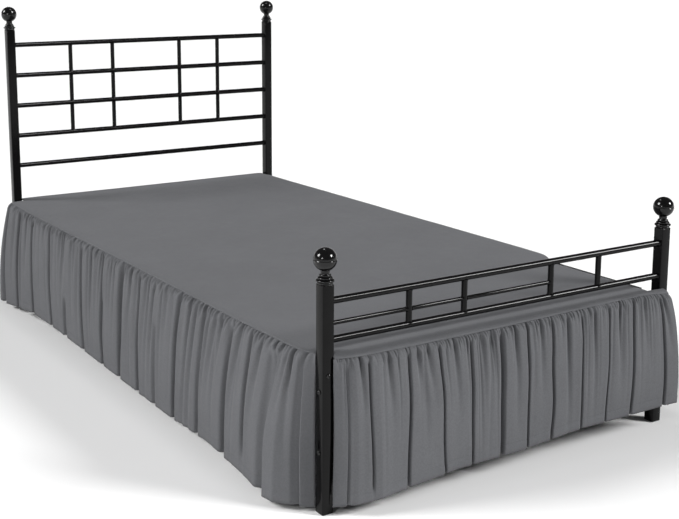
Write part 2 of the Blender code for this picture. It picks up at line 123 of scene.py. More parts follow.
# One row for each place along an edge: the seam's height, the hem's swing past the seam, the hem's height,
# and how far the seam runs in from its straight line.
Hang = namedtuple("Hang", "place seam_z swing hem_z inset")
NEAR_HANGS = (
    Hang(-0.9535, 0.353, 0.000, 0.008, 0.018),
    Hang(-0.925, 0.354, 0.030, 0.014, 0.004),
    Hang(-0.890, 0.354, 0.056, 0.014, 0.000),
    Hang(-0.850, 0.353, 0.062, 0.016, 0.000),
    Hang(-0.740, 0.351, 0.050, 0.024, 0.000),
    Hang(-0.560, 0.350, 0.042, 0.034, 0.000),
    Hang(-0.350, 0.351, 0.040, 0.026, 0.000),
    Hang(0.100, 0.351, 0.032, 0.028, 0.000),
    Hang(0.500, 0.349, 0.030, 0.036, 0.000),
    Hang(0.700, 0.349, 0.030, 0.035, 0.000),
    Hang(0.830, 0.350, 0.036, 0.022, 0.000),
    Hang(0.945, 0.353, 0.046, 0.012, 0.000),
)
FAR_HANGS = (
    Hang(-0.940, 0.322, 0.060, 0.022, 0.000),
    Hang(-0.850, 0.322, 0.086, 0.018, 0.000),
    Hang(TUCK_END_Y, 0.322, 0.062, 0.024, 0.000),
    Hang(TUCK_START_Y, 0.342, 0.058, 0.028, 0.000),
    Hang(-0.350, 0.342, 0.055, 0.026, 0.000),
    Hang(0.100, 0.342, 0.050, 0.028, 0.000),
    Hang(0.500, 0.342, 0.048, 0.032, 0.000),
    Hang(0.750, 0.342, 0.048, 0.028, 0.000),
    Hang(0.940, 0.342, 0.060, 0.016, 0.000),
)
FOOT_HANGS = (
    Hang(-0.4955, 0.347, 0.002, 0.018, 0.0175),
    Hang(-0.455, 0.348, 0.024, 0.028, 0.003),
    Hang(-0.400, 0.348, 0.034, 0.034, 0.000),
    Hang(-0.200, 0.347, 0.030, 0.051, 0.000),
    Hang(0.000, 0.348, 0.032, 0.054, 0.000),
    Hang(0.200, 0.352, 0.028, 0.065, 0.000),
    Hang(0.400, 0.354, 0.030, 0.066, 0.000),
    Hang(0.455, 0.351, 0.031, 0.067, 0.000),
    Hang(0.500, 0.344, 0.030, 0.066, 0.000),
)

# One row for each lesser crease: its place at the seam, how deep and how wide it is, how far it slants
# along the edge by its end, and the shares of the drop where it starts and ends.
Crease = namedtuple("Crease", "place depth half_width slant start end")
NEAR_CREASES = (
    Crease(0.870, 0.009, 0.005, 0.000, 0.00, 0.90),
    Crease(0.760, 0.011, 0.005, 0.004, 0.00, 0.68),
    Crease(0.460, 0.007, 0.006, 0.006, 0.00, 0.45),
    Crease(0.345, 0.011, 0.006, 0.002, 0.00, 0.52),
    Crease(0.205, 0.009, 0.005, 0.006, 0.00, 0.75),
    Crease(0.060, 0.011, 0.006, 0.006, 0.00, 0.60),
    Crease(-0.070, 0.009, 0.005, 0.004, 0.00, 0.68),
    Crease(-0.190, 0.012, 0.006, 0.012, 0.00, 1.20),
    Crease(-0.222, 0.011, 0.005, 0.010, 0.00, 0.98),
    Crease(-0.300, 0.009, 0.006, 0.006, 0.00, 0.52),
    Crease(-0.430, 0.015, 0.006, 0.014, 0.00, 1.50),
    Crease(-0.462, 0.013, 0.006, 0.014, 0.00, 1.50),
    Crease(-0.560, 0.012, 0.007, 0.016, 0.00, 0.90),
    Crease(-0.592, 0.011, 0.006, 0.014, 0.00, 0.68),
    Crease(-0.680, 0.013, 0.007, 0.022, 0.00, 1.05),
    Crease(-0.775, 0.013, 0.008, 0.020, 0.00, 0.83),
    Crease(-0.880, 0.012, 0.006, 0.010, 0.00, 0.60),
    Crease(-0.900, 0.015, 0.004, 0.004, 0.00, 0.45),
)
FOOT_CREASES = (
    Crease(-0.440, 0.011, 0.004, 0.004, 0.00, 0.45),
    Crease(-0.370, 0.012, 0.005, 0.006, 0.00, 0.60),
    Crease(-0.290, 0.012, 0.006, 0.014, 0.00, 0.75),
    Crease(-0.265, 0.011, 0.005, 0.010, 0.00, 0.52),
    Crease(-0.190, 0.011, 0.005, 0.004, 0.00, 0.68),
    Crease(-0.110, 0.011, 0.005, 0.000, 0.00, 0.75),
    Crease(-0.082, 0.009, 0.005, -0.004, 0.00, 0.52),
    Crease(-0.012, 0.012, 0.005, 0.002, 0.00, 0.90),
    Crease(0.066, 0.011, 0.005, 0.000, 0.00, 0.68),
    Crease(0.150, 0.013, 0.005, 0.004, 0.00, 1.20),
    Crease(0.240, 0.012, 0.005, 0.000, 0.00, 1.05),
    Crease(0.322, 0.011, 0.005, 0.004, 0.00, 0.83),
    Crease(0.405, 0.011, 0.005, 0.010, 0.00, 0.68),
    Crease(0.470, 0.009, 0.004, 0.010, 0.00, 0.60),
)

# A ruffle: the axis its cloth faces, which way is outward, its seam, its two ends along the edge and how far
# each flares at the hem, its tables, the spacing of its columns, the size of its gathers and its seed.
Ruffle = namedtuple(
    "Ruffle",
    "name node axis outward seam first last first_flare last_flare folds hangs creases spacing gather seed",
)
RUFFLES = (
    Ruffle(
        "ruffle_near_cloth", "ruffle_near", 0, -1, NEAR_SEAM_X, -0.9535, 0.945, 0.000, 0.020,
        NEAR_FOLDS, NEAR_HANGS, NEAR_CREASES, 0.0030, 0.0125, 11,
    ),
    Ruffle(
        "ruffle_far_cloth", "ruffle_far", 0, 1, FAR_SEAM_X, -0.940, 0.940, 0.020, 0.095,
        FAR_FOLDS, FAR_HANGS, NEAR_CREASES, 0.0052, 0.0125, 12,
    ),
    Ruffle(
        "ruffle_foot_cloth", "ruffle_foot", 1, -1, FOOT_SEAM_Y, -0.4955, 0.497, 0.000, 0.020,
        FOOT_FOLDS, FOOT_HANGS, FOOT_CREASES, 0.0018, 0.0066, 13,
    ),
)
TUCK = -1  # every fold's bottom lies under its neighbour at the lower end of the axis along the seam

# How a ruffle hangs
FLARE_WIDTH = 0.120
FLARE_POWER = 4.0
SWING_POWER = 1.8
FOLD_OPENING = 0.12  # share of the drop over which a fold opens
FOLD_CLOSING = 0.25  # share of the drop over which a fold that ends early fades
SEAM_PUCKER = 0.12  # share of a fold's depth that is already there at the seam
DEPTH_AT_SEAM = 0.62  # a fold's full depth at the seam, as a share of its depth at the hem
FOLD_POWER = 5.0
SOFT_SIDE = 1.7  # a fold's width on the side that slopes in, in half widths
STEEP_SIDE = 0.42  # and on the side that overhangs
SHOULDER_DEPTH = 0.07  # how far the sloping side's cloth bends in before a fold, as a share of its depth
SHOULDER_WIDTH = 3.0  # and how wide that bend is, in half widths
LEAN = 0.10  # how far a fold's bottom moves under the overhanging side, for each metre of depth
LIP_WIDTH = 0.008
LIP_RISE = 0.0008  # how far the overhanging lip of a main fold stands out
LIP_PLACE = 1.5  # where the lip starts, in widths of the overhanging side
LIP_OPENING = 0.3
CREASE_AT_START = 0.6  # a crease's depth where it starts, as a share of its full depth
CREASE_OPENING = 0.12
CREASE_FADE = 1.3  # power by which a crease fades to its end
CREASE_SPREAD = 1.0  # how much wider a crease is where it ends
WANDER = 0.0024  # sideways waver of a fold line
WANDER_SIZE = (0.3, 1.0)
WANDER_TURNS = (0.8, 1.7)
WANDER_REACH = 0.040
WANDER_OPENING = 0.3
WANDER_SEED = 100
BULGE = 0.009  # how far the gathers stand out just below the seam
STEADY_INSET = 0.018  # inset of the seam at which the gathers no longer stand out
END_CALM = 0.012  # length of a free end without creases
BULGE_DROP = 0.050  # share of the drop in which they turn down
FOLD_COLUMNS = (-3.0, -2.5, -2.2, -2.0, -1.8, -1.6, -1.4, -1.2, -0.9, -0.4, 0.0, 0.22, 0.32, 0.40, 0.48, 0.62)
LEAST_COLUMN = 0.0003
TOP_ROWS = (0.0, 0.003, 0.008, 0.014, 0.021, 0.029, 0.038, 0.048, 0.060, 0.075, 0.092, 0.110)
LOWER_ROWS = 21
HEM_ROWS = (0.905, 0.915, 0.922, 0.930, 0.950, 0.975, 1.0)
HEM_LINE = 0.922  # share of the drop at which the hem is sewn
HEM_PINCH = 0.0006
HEM_PINCH_REACH = 0.005
HEM_STANDS = 0.0005

# Small creases that the gathering leaves, drawn at random for each ruffle, with lengths in shares of the
# drop and the other sizes in gathers
PUCKERS_PER_GATHER = 0.85
PUCKER_PLACE = (0.1, 0.9)
PUCKER_DEPTH = (0.60, 1.20)
PUCKER_WIDTH = (0.17, 0.27)
PUCKER_START = -0.015
PUCKER_END = (0.040, 0.140)
PUCKER_SLANT = 0.45
MINORS_PER_GATHER = 0.50
MINOR_DEPTH = (0.15, 0.75)
MINOR_WIDTH = (0.22, 0.50)
MINOR_SLANT = 0.6
MINOR_START = -0.02
MINOR_END = (0.20, 1.30)
BROADS_PER_GATHER = 0.14
BROAD_DEPTH = (0.05, 0.24)
BROAD_WIDTH = (0.9, 1.8)
BROAD_SLANT = 0.8
BROAD_START = (0.0, 0.4)
BROAD_END = 1.6

# Stitches
STITCH_PITCH = 0.0052
STITCH_LENGTH = 0.0034
STITCH_RADIUS = 0.00032
STITCH_LIFT = CLOTH_THICKNESS / 2 + STITCH_RADIUS / 2
TOPSTITCH_INSET = 0.009
RUN_STEP = 0.004  # spacing of the points along a line of stitches on the deck panel
HEAD_RUN_END = 0.480
HEM_PROBE = 0.01  # share of the drop, to either side of the hem line, over which the cloth's slope is taken

# Deck panel
EDGE_STEP = 0.0022
MIDDLE_STEP = 0.014
GRADE_REACH = 0.12  # distance from an edge over which the steps widen
DECK_SEED = 21
# Slow random waves of the cloth: height, size and number of waves
DECK_WAVES = ((0.0009, 0.5, 7), (0.0003, 0.09, 9))

# Metal
BAR_SIDES = 32
WELD_RADIUS = 0.0018  # how far a weld stands out round the end of a bar
WELD_LENGTH = 0.0050
# A weld's outline: shares of its length and radius
WELD_PROFILE = ((0.0, 1.0), (0.25, 0.75), (0.5, 0.4), (0.8, 0.1), (1.0, 0.0))
METAL_SHARP_ANGLE = math.radians(40)
FINIAL_SHARP_ANGLE = math.radians(35)
POST_EDGE = 0.0018
STRIP_EDGE = 0.0012
RAIL_WALL = 0.006
FINIAL_SIDES = 56
BALL_RINGS = 28
BALL_RADIUS = 0.0254
BALL_CENTRE = 0.052
BALL_SEAM = 0.0006
BALL_SEAM_HALF = 0.0009  # half the height of the groove round the ball's middle
NECK_RADIUS = 0.0100
NECK_TOP = 0.0225
NECK_WAIST = 0.95
# Rounded beads below the neck: bottom, top, inner radius and outer radius
FINIAL_BEADS = (
    (0.0000, 0.0042, 0.0150, 0.0168),
    (0.0046, 0.0098, 0.0165, 0.0198),
    (0.0102, 0.0152, 0.0130, 0.0162),
    (0.0156, 0.0206, 0.0105, 0.0132),
)
BEAD_STEPS = 7
BEAD_POWER = 0.6
BOLT_SIDES = 28
# A bolt head's outline from its washer to its recess: shares of its height and radius
BOLT_PROFILE = (
    (0.00, 1.00), (0.15, 1.00), (0.18, 0.92), (0.40, 0.88), (0.62, 0.78), (0.80, 0.64), (0.93, 0.46),
    (1.00, 0.30), (0.70, 0.24),
)
SLOT_FOOT_Z = 0.1475  # lower end of the slot above each foot post's lower bolt
SLOT_HEIGHT = 0.022
SLOT_WIDTH = 0.0075
SLOT_DEPTH = 0.002
SLOT_STEPS = 12

# Finishes
CLOTH_GREY = (0.112, 0.114, 0.121)
THREAD_GREY = (0.094, 0.096, 0.102, 1.0)
METAL_BLACK = (0.0030, 0.0029, 0.0030)
COAT_SPECULAR = 0.14
GLOSS_SPECULAR = 0.34

# Stage
Sun = namedtuple("Sun", "name strength angle direction")
SUNS = (
    Sun("sun_left", 2.75, math.radians(22), (0.75, -0.35, -0.55)),
    Sun("sun_right", 3.15, math.radians(17), (-0.58, 0.62, -0.53)),
)
Lamp = namedtuple("Lamp", "name place target size power")
LAMPS = (
    Lamp("gloss_left", (-3.05, -2.20, 1.58), (-0.5, -0.97, 0.56), 0.40, 19.0),
    Lamp("gloss_top", (0.20, 0.65, 3.30), (-0.1, 0.0, 0.4), 0.45, 8.0),
)
WORLD_STRENGTH = 1.0
# Brightness of the studio by the upward part of the direction
WORLD_LEVELS = ((0.0, 1.0), (0.05, 1.0), (0.12, 0.12), (1.0, 0.12))
FLOOR_COLOUR = (0.94, 0.94, 0.94, 1.0)
FLOOR_REACH = 40


def smooth_step(share):
    """0 below 0, 1 above 1, and a smooth rise between, for numbers or arrays."""
    share = np.clip(share, 0.0, 1.0)
    return share * share * (3 - 2 * share)


# Materials


def new_material(name):
    """An empty node material with one Principled shader."""
    material = bpy.data.materials.new(name)
    material.use_nodes = True
    nodes = material.node_tree.nodes
    return material, nodes, material.node_tree.links, nodes["Principled BSDF"]


def noise(nodes, links, coords, scale, detail):
    """A noise texture in object coordinates."""
    texture = nodes.new("ShaderNodeTexNoise")
    texture.inputs["Scale"].default_value = scale
    texture.inputs["Detail"].default_value = detail
    links.new(coords.outputs["Object"], texture.inputs["Vector"])
    return texture.outputs["Fac"]


def spread(nodes, links, value, low, high):
    """Maps a noise value to a range."""
    node = nodes.new("ShaderNodeMapRange")
    node.inputs["From Min"].default_value = 0.3
    node.inputs["From Max"].default_value = 0.7
    node.inputs["To Min"].default_value = low
    node.inputs["To Max"].default_value = high
    links.new(value, node.inputs["Value"])
    return node.outputs["Result"]


def combine(nodes, links, operation, a, b):
    """A Math node on two values."""
    node = nodes.new("ShaderNodeMath")
    node.operation = operation
    links.new(a, node.inputs[0])
    links.new(b, node.inputs[1])
    return node.outputs["Value"]


def cloth_material():
    """Brushed microfibre: mid grey, matt, with a fine weave, a soft mottle and a little sheen."""
    material, nodes, links, shader = new_material("skirt_cloth")
    coords = nodes.new("ShaderNodeTexCoord")
    broad = spread(nodes, links, noise(nodes, links, coords, 7.0, 3.0), 0.965, 1.035)
    fine = spread(nodes, links, noise(nodes, links, coords, 260.0, 4.0), 0.93, 1.07)
    tone = combine(nodes, links, "MULTIPLY", broad, fine)
    colour = nodes.new("ShaderNodeVectorMath")
    colour.operation = "SCALE"
    colour.inputs[0].default_value = CLOTH_GREY
    links.new(tone, colour.inputs["Scale"])
    links.new(colour.outputs["Vector"], shader.inputs["Base Color"])
    height = fine
    for direction in ("X", "Y", "Z"):
        wave = nodes.new("ShaderNodeTexWave")
        wave.bands_direction = direction
        wave.inputs["Scale"].default_value = 300.0
        wave.inputs["Distortion"].default_value = 0.6
        links.new(coords.outputs["Object"], wave.inputs["Vector"])
        height = combine(nodes, links, "ADD", height, wave.outputs["Fac"])
    bump = nodes.new("ShaderNodeBump")
    bump.inputs["Strength"].default_value = 0.35
    bump.inputs["Distance"].default_value = 0.00012
    links.new(height, bump.inputs["Height"])
    links.new(bump.outputs["Normal"], shader.inputs["Normal"])
    rough = spread(nodes, links, noise(nodes, links, coords, 40.0, 2.0), 0.80, 0.92)
    links.new(rough, shader.inputs["Roughness"])
    shader.inputs["Specular IOR Level"].default_value = 0.12
    shader.inputs["Sheen Weight"].default_value = 0.04
    shader.inputs["Sheen Roughness"].default_value = 0.45
    return material


def thread_material():
    """Sewing thread, a shade darker than the cloth."""
    material, nodes, links, shader = new_material("skirt_thread")
    coords = nodes.new("ShaderNodeTexCoord")
    rough = spread(nodes, links, noise(nodes, links, coords, 900.0, 1.0), 0.55, 0.75)
    links.new(rough, shader.inputs["Roughness"])
    shader.inputs["Base Color"].default_value = THREAD_GREY
    return material


def metal_material(name, specular):
    """Glossy black coat with a faint orange peel."""
    material, nodes, links, shader = new_material(name)
    coords = nodes.new("ShaderNodeTexCoord")
    tone = spread(nodes, links, noise(nodes, links, coords, 30.0, 3.0), 0.85, 1.2)
    colour = nodes.new("ShaderNodeVectorMath")
    colour.operation = "SCALE"
    colour.inputs[0].default_value = METAL_BLACK
    links.new(tone, colour.inputs["Scale"])
    links.new(colour.outputs["Vector"], shader.inputs["Base Color"])
    rough = spread(nodes, links, noise(nodes, links, coords, 55.0, 2.0), 0.10, 0.15)
    links.new(rough, shader.inputs["Roughness"])
    bump = nodes.new("ShaderNodeBump")
    bump.inputs["Strength"].default_value = 0.2
    bump.inputs["Distance"].default_value = 0.00006
    links.new(noise(nodes, links, coords, 420.0, 2.0), bump.inputs["Height"])
    links.new(bump.outputs["Normal"], shader.inputs["Normal"])
    shader.inputs["Specular IOR Level"].default_value = specular
    return material


# Pieces


def add_piece(name, mesh, material, nodes, smooth_angle=None):
    """Links a mesh as a piece that rides with the bed and stands for the CAD nodes."""
    mesh.materials.append(material)
    mesh.shade_smooth()
    if smooth_angle is not None:
        mesh.set_sharp_from_angle(angle=smooth_angle)
    obj = bpy.data.objects.new(name, mesh)
    bpy.context.scene.collection.objects.link(obj)
    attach(obj, BODY)
    if nodes:
        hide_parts(*nodes)
    return obj


def mesh_from(name, vertices, faces):
    """A mesh whose faces all point the same way."""
    mesh = bpy.data.meshes.new(name)
    mesh.from_pydata([tuple(v) for v in vertices], [], faces)
    bm = bmesh.new()
    bm.from_mesh(mesh)
    bmesh.ops.recalc_face_normals(bm, faces=bm.faces)
    bm.to_mesh(mesh)
    bm.free()
    return mesh


def thicken(obj):
    """Gives a cloth its thickness."""
    solid = obj.modifiers.new("thickness", "SOLIDIFY")
    solid.thickness = CLOTH_THICKNESS
    solid.offset = 0.0


# Ruffles


def hang_value(hangs, place, column):
    """One column of a table of hangs, read at places between its rows."""
    return np.interp(place, [hang.place for hang in hangs], [getattr(hang, column) for hang in hangs])


def column_places(ruffle):
    """Places along the seam: even ones, and closer ones across each main fold."""
    count = int((ruffle.last - ruffle.first) / ruffle.spacing)
    places = list(np.linspace(ruffle.first, ruffle.last, count + 1))
    for fold in ruffle.folds:
        places += [fold.place + TUCK * fold.half_width * k for k in FOLD_COLUMNS]
    kept = [ruffle.first]
    for place in sorted(places):
        if kept[-1] + LEAST_COLUMN < place < ruffle.last - LEAST_COLUMN:
            kept.append(place)
    return np.array(kept + [ruffle.last])


def small_creases(ruffle):
    """Random creases of three kinds: tight puckers at the seam, minor ones below it, and broad soft ones."""
    random = np.random.RandomState(ruffle.seed)
    gathers = (ruffle.last - ruffle.first) / ruffle.gather
    rows = []
    for k in range(int(gathers * PUCKERS_PER_GATHER)):
        pitch = ruffle.gather / PUCKERS_PER_GATHER
        place = ruffle.first + (k + random.uniform(*PUCKER_PLACE)) * pitch
        depth = random.uniform(*PUCKER_DEPTH) * ruffle.gather
        half_width = random.uniform(*PUCKER_WIDTH) * ruffle.gather
        slant = random.normal(1.0, 1.0) * PUCKER_SLANT * ruffle.gather
        rows.append(Crease(place, depth, half_width, slant, PUCKER_START, random.uniform(*PUCKER_END)))
    for _ in range(int(gathers * MINORS_PER_GATHER)):
        place = random.uniform(ruffle.first, ruffle.last)
        depth = random.uniform(*MINOR_DEPTH) * ruffle.gather
        half_width = random.uniform(*MINOR_WIDTH) * ruffle.gather
        slant = random.normal(0.0, MINOR_SLANT) * ruffle.gather
        rows.append(Crease(place, depth, half_width, slant, MINOR_START, random.uniform(*MINOR_END)))
    for _ in range(int(gathers * BROADS_PER_GATHER)):
        place = random.uniform(ruffle.first, ruffle.last)
        depth = random.uniform(*BROAD_DEPTH) * ruffle.gather
        half_width = random.uniform(*BROAD_WIDTH) * ruffle.gather
        slant = random.normal(0.0, BROAD_SLANT) * ruffle.gather
        rows.append(Crease(place, depth, half_width, slant, random.uniform(*BROAD_START), BROAD_END))
    return rows


def main_folds(ruffle, place, share):
    """How far the main folds draw the cloth in."""
    depth = np.zeros(np.broadcast(place, share).shape)
    for fold in ruffle.folds:
        opened = SEAM_PUCKER + (1 - SEAM_PUCKER) * smooth_step((share - fold.start) / FOLD_OPENING)
        opened = np.where(share >= fold.start, opened, 0.0)
        opened = opened * (1 - smooth_step((share - fold.end + FOLD_CLOSING) / FOLD_CLOSING))
        distance = (place - fold.place) * TUCK / fold.half_width
        side = np.where(distance < 0, SOFT_SIDE, STEEP_SIDE)
        shape = np.exp(-np.abs(distance / side) ** FOLD_POWER)
        shoulder = np.where(distance < 0, np.exp(-np.abs(distance / SHOULDER_WIDTH) ** 2), shape)
        shape = shape + SHOULDER_DEPTH * (shoulder - shape)
        grown = DEPTH_AT_SEAM + (1 - DEPTH_AT_SEAM) * share
        depth = depth + fold.depth * opened * grown * shape
    return depth


def lip_rise(ruffle, place, share):
    """How far the overhanging lip beside each main fold stands out."""
    rise = np.zeros(np.broadcast(place, share).shape)
    for fold in ruffle.folds:
        lip = fold.place + TUCK * (STEEP_SIDE * LIP_PLACE * fold.half_width + LIP_WIDTH / 2)
        distance = (place - lip) / LIP_WIDTH
        opened = smooth_step((share - fold.start) / LIP_OPENING)
        rise = rise + LIP_RISE * opened * np.exp(-distance * distance)
    return rise


def crease_depth(creases, place, share):
    """How far lesser creases draw the cloth in."""
    depth = np.zeros(np.broadcast(place, share).shape)
    for crease in creases:
        reach = max(crease.end - crease.start, 1e-6)
        run = np.clip((share - crease.start) / reach, 0.0, 1.0)
        opened = CREASE_AT_START + (1 - CREASE_AT_START) * smooth_step(run / CREASE_OPENING)
        window = np.where(share >= crease.start, opened * (1 - run) ** CREASE_FADE, 0.0)
        centre = crease.place + crease.slant * run
        distance = (place - centre) / (crease.half_width * (1 + CREASE_SPREAD * run))
        depth = depth + crease.depth * window * np.exp(-distance * distance)
    return depth


def fold_waver(ruffle, place, share):
    """A slow sideways waver of each main fold's line, drawn at random."""
    random = np.random.RandomState(ruffle.seed + WANDER_SEED)
    waver = np.zeros(np.broadcast(place, share).shape)
    for fold in ruffle.folds:
        phase = random.uniform(0, 2 * math.pi)
        turns = random.uniform(*WANDER_TURNS)
        size = random.uniform(*WANDER_SIZE) * WANDER
        near = np.exp(-((place - fold.place) / WANDER_REACH) ** 2)
        wave = np.sin(phase + 2 * math.pi * turns * share)
        waver = waver + size * near * wave * smooth_step(share / WANDER_OPENING)
    return waver


def end_flare(ruffle, place, share):
    """How far the two free ends swing along the edge, away from the middle."""
    swing = 1 - (1 - share) ** FLARE_POWER
    first = smooth_step(1 - (place - ruffle.first) / FLARE_WIDTH)
    last = smooth_step(1 - (ruffle.last - place) / FLARE_WIDTH)
    return swing * (last * ruffle.last_flare - first * ruffle.first_flare)


def ruffle_points(ruffle, places, shares, creases):
    """The ruffle's points as an array: places along the seam by shares of the drop by XYZ."""
    place = np.asarray(places)[:, None]
    share = np.asarray(shares)[None, :]
    depth = main_folds(ruffle, place, share)
    turned = np.clip(share / BULGE_DROP, 0.0, 1.0)
    inset = hang_value(ruffle.hangs, place, "inset")
    bulge = BULGE * np.sqrt(1 - (1 - turned) ** 2) * (1 - share) * np.clip(1 - inset / STEADY_INSET, 0.0, 1.0)
    hem = HEM_STANDS * (share > HEM_LINE) - HEM_PINCH * np.exp(-((share - HEM_LINE) / HEM_PINCH_REACH) ** 2)
    swing = hang_value(ruffle.hangs, place, "swing") * (1 - (1 - share) ** SWING_POWER)
    out = swing + bulge + hem + lip_rise(ruffle, place, share)
    calm = smooth_step((place - ruffle.first) / END_CALM) * smooth_step((ruffle.last - place) / END_CALM)
    out = out - inset - depth - crease_depth(creases, place, share) * calm
    ends = [(ruffle.first, 0.0), (ruffle.last, 0.0)]
    drifts = sorted([(fold.place, fold.drift) for fold in ruffle.folds] + ends)
    drift = np.interp(place, [row[0] for row in drifts], [row[1] for row in drifts])
    along = place + drift * share + end_flare(ruffle, place, share)
    along = along + fold_waver(ruffle, place, share) + TUCK * LEAN * depth
    top = hang_value(ruffle.hangs, place, "seam_z")
    z = top + (hang_value(ruffle.hangs, place, "hem_z") - top) * share
    distance = ruffle.seam + ruffle.outward * out
    parts = (distance, along, z) if ruffle.axis == 0 else (along, distance, z)
    return np.stack([np.broadcast_to(part, depth.shape) for part in parts], axis=-1)


def ruffle_mesh(ruffle, creases):
    """A fine band of close columns below the seam, joined to a body of wider columns down to the hem."""
    coarse = column_places(ruffle)
    fine = np.empty(2 * len(coarse) - 1)
    fine[0::2] = coarse
    fine[1::2] = (coarse[:-1] + coarse[1:]) / 2
    middle_rows = np.linspace(TOP_ROWS[-1], HEM_ROWS[0], LOWER_ROWS)
    lower_rows = np.concatenate([middle_rows[1:], HEM_ROWS[1:]])
    band = ruffle_points(ruffle, fine, TOP_ROWS, creases)
    body = ruffle_points(ruffle, coarse, lower_rows, creases)
    band_rows = len(TOP_ROWS)
    body_rows = len(lower_rows)
    start = band.shape[0] * band_rows
    vertices = np.concatenate([band.reshape(-1, 3), body.reshape(-1, 3)])
    faces = []
    for i in range(len(fine) - 1):
        for j in range(band_rows - 1):
            here = i * band_rows + j
            faces.append((here, here + band_rows, here + band_rows + 1, here + 1))
    for i in range(len(coarse) - 1):
        last = 2 * i * band_rows + band_rows - 1
        here = start + i * body_rows
        faces.append((last, last + band_rows, last + 2 * band_rows, here + body_rows, here))
        for j in range(body_rows - 1):
            faces.append((here + j, here + body_rows + j, here + body_rows + j + 1, here + j + 1))
    return mesh_from(ruffle.name, vertices, faces)


def stitch_mesh(name, runs):
    """One mesh of short threads laid end to end along each run of points, a little proud of the cloth."""
    vertices = []
    faces = []
    for points, proud in runs:
        steps = np.linalg.norm(np.diff(points, axis=0), axis=1)
        travelled = np.concatenate([[0.0], np.cumsum(steps)])
        count = int(travelled[-1] / STITCH_PITCH)
        starts = (np.arange(count) + 0.5) * STITCH_PITCH
        for offset in (0.0, 1.0):
            ends = starts + offset * STITCH_LENGTH
            row = np.stack([np.interp(ends, travelled, points[:, k]) for k in range(3)], axis=1)
            lift = np.stack([np.interp(ends, travelled, proud[:, k]) for k in range(3)], axis=1)
            if offset == 0.0:
                first_row = row + lift
        last_row = row + lift
        for a, b in zip(first_row, last_row):
            add_thread(vertices, faces, Vector(a), Vector(b))
    return mesh_from(name, vertices, faces)


def add_thread(vertices, faces, a, b):
    """One stitch: a short four sided thread that narrows to its ends."""
    along = (b - a).normalized()
    across = along.orthogonal().normalized()
    third = along.cross(across)
    start = len(vertices)
    for point, size in ((a, 0.4), (a.lerp(b, 0.3), 1.0), (a.lerp(b, 0.7), 1.0), (b, 0.4)):
        for k in range(4):
            angle = math.pi / 2 * k
            side = across * math.cos(angle) + third * math.sin(angle)
            vertices.append(point + side * STITCH_RADIUS * size)
    for ring in range(3):
        for k in range(4):
            here = start + ring * 4 + k
            beside = start + ring * 4 + (k + 1) % 4
            faces.append((here, beside, beside + 4, here + 4))
    faces.append((start, start + 1, start + 2, start + 3))
    faces.append((start + 12, start + 13, start + 14, start + 15))


def hem_run(ruffle, creases):
    """The line along a ruffle's outer face where its hem is sewn, and the way out of the cloth along it."""
    places = column_places(ruffle)
    points = ruffle_points(ruffle, places, (HEM_LINE - HEM_PROBE, HEM_LINE, HEM_LINE + HEM_PROBE), creases)
    line = points[:, 1]
    along = np.gradient(line, axis=0)
    down = points[:, 2] - points[:, 0]
    normal = np.cross(along, down)
    normal /= np.linalg.norm(normal, axis=1)[:, None]
    middle = normal[len(normal) // 2]
    if middle[ruffle.axis] * ruffle.outward < 0:
        normal = -normal
    return line, normal * STITCH_LIFT


def make_ruffle(ruffle, cloth, thread):
    """A ruffle's cloth with its hem stitches."""
    creases = list(ruffle.creases) + small_creases(ruffle)
    obj = add_piece(ruffle.name, ruffle_mesh(ruffle, creases), cloth, [ruffle.node])
    thicken(obj)
    mesh = stitch_mesh(f"{ruffle.node}_hem_stitches", [hem_run(ruffle, creases)])
    stitches = add_piece(mesh.name, mesh, thread, [])
    return obj


# Deck panel


def roll_drop(inset, hangs, place):
    """How far the deck has curved down at a distance in from a seam."""
    share = np.clip(inset / ROLL_WIDTH, 0.0, 1.0)
    drop = DECK_MIDDLE - hang_value(hangs, place, "seam_z")
    return drop * (1 - np.sqrt(1 - (1 - share) ** 2))


def graded(first, last):
    """Places from first to last, close together near both ends."""
    places = [first]
    while places[-1] < last:
        edge = min(places[-1] - first, last - places[-1])
        share = smooth_step(edge / GRADE_REACH)
        places.append(places[-1] + EDGE_STEP + (MIDDLE_STEP - EDGE_STEP) * share)
    places = np.array(places)
    return first + (places - first) * (last - first) / (places[-1] - first)


def with_lines(places, lines):
    """The places with the nearest one to each line moved onto it."""
    places = np.array(places)
    for line in lines:
        places[np.argmin(np.abs(places - line))] = line
    return places


def notch_edges():
    """The edges of the notches round the foot posts, with the cloth's clearance."""
    low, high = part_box("post_foot_far")
    return low[0] - POST_CLEARANCE, high[1] + POST_CLEARANCE, low[1] - POST_CLEARANCE


def in_deck(x, y, edges):
    """Whether the deck panel covers this place, outside the posts' notches and the turned in far edge."""
    slot_in, foot_in, foot_out = edges
    if y > DECK_SIDE_HEAD_Y and abs(x) > slot_in:
        return False
    if foot_out < y < foot_in and x < -slot_in:
        return False
    if y < foot_out and not FOOT_TONGUE_NEAR_X < x < FOOT_TONGUE_FAR_X:
        return False
    return not (x > TUCK_X and foot_out < y < TUCK_END_Y)


def soft_noise(random, x, y, size, count):
    """A slow random unevenness over the deck, from a few crossing waves of about the given size."""
    total = np.zeros(np.broadcast(x, y).shape)
    for _ in range(count):
        angle = random.uniform(0, math.pi)
        length = size * random.uniform(0.6, 1.6)
        phase = random.uniform(0, 2 * math.pi)
        run = (x * math.cos(angle) + y * math.sin(angle)) * 2 * math.pi / length
        total = total + np.sin(run + phase)
    return total / count


